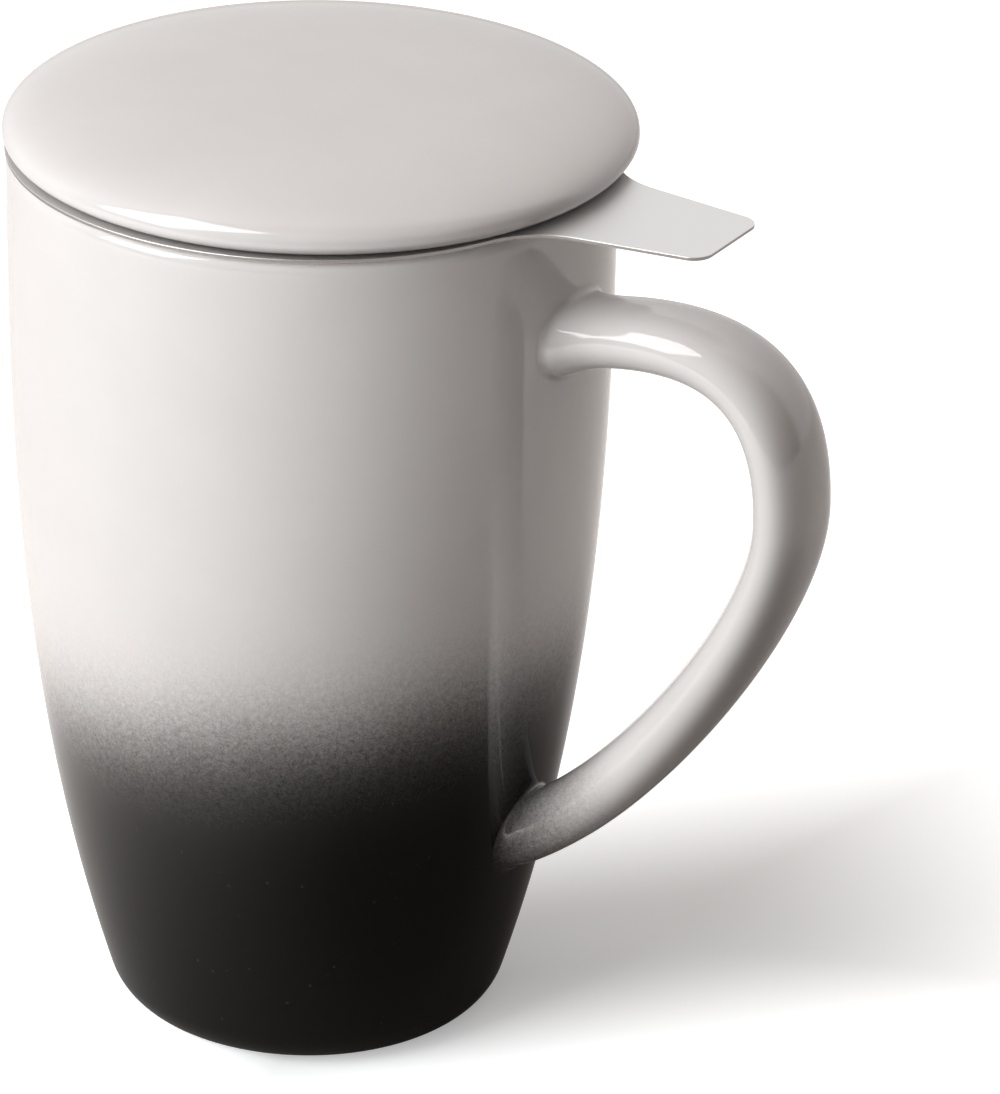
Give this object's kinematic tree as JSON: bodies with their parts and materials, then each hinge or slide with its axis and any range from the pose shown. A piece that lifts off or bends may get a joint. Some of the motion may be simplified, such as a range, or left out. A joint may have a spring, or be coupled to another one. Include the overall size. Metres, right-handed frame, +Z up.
{
  "type": "tea mug with infuser",
  "caption": "Tall porcelain tea mug with an ear handle, a lift-out perforated steel infuser with a grip tab, and a loose domed lid, glazed pale above and black below.",
  "frame": {"origin": "middle of the foot ring, on the table", "axes": "+Z up along the mug's axis, +X out through the handle"},
  "size_m": [0.1259, 0.0895, 0.1408],
  "materials": {
    "glazed_mug": "glossy pale glaze, sprayed to black over the lower third",
    "glazed_handle": "glossy pale glaze, speckled with black at the lower joint",
    "glazed_lid": "glossy pale glaze",
    "polished_steel": "polished stainless steel",
    "perforated_steel": "satin stainless steel, perforated"
  },
  "bodies": {
    "mug": {"mug_body": "glazed_mug", "handle": "glazed_handle"},
    "infuser": {"infuser_flange": "polished_steel", "infuser_wall": "perforated_steel", "infuser_floor": "perforated_steel"},
    "lid": {"lid": "glazed_lid"}
  },
  "joints": [
    {"name": "infuser_lift", "type": "slide", "parent": "mug", "child": "infuser", "axis": [0, 0, 1], "range_m": [0, 0.095]},
    {"name": "lid_lift", "type": "slide", "parent": "infuser", "child": "lid", "axis": [0, 0, 1], "range_m": [0, 0.06]}
  ]
}
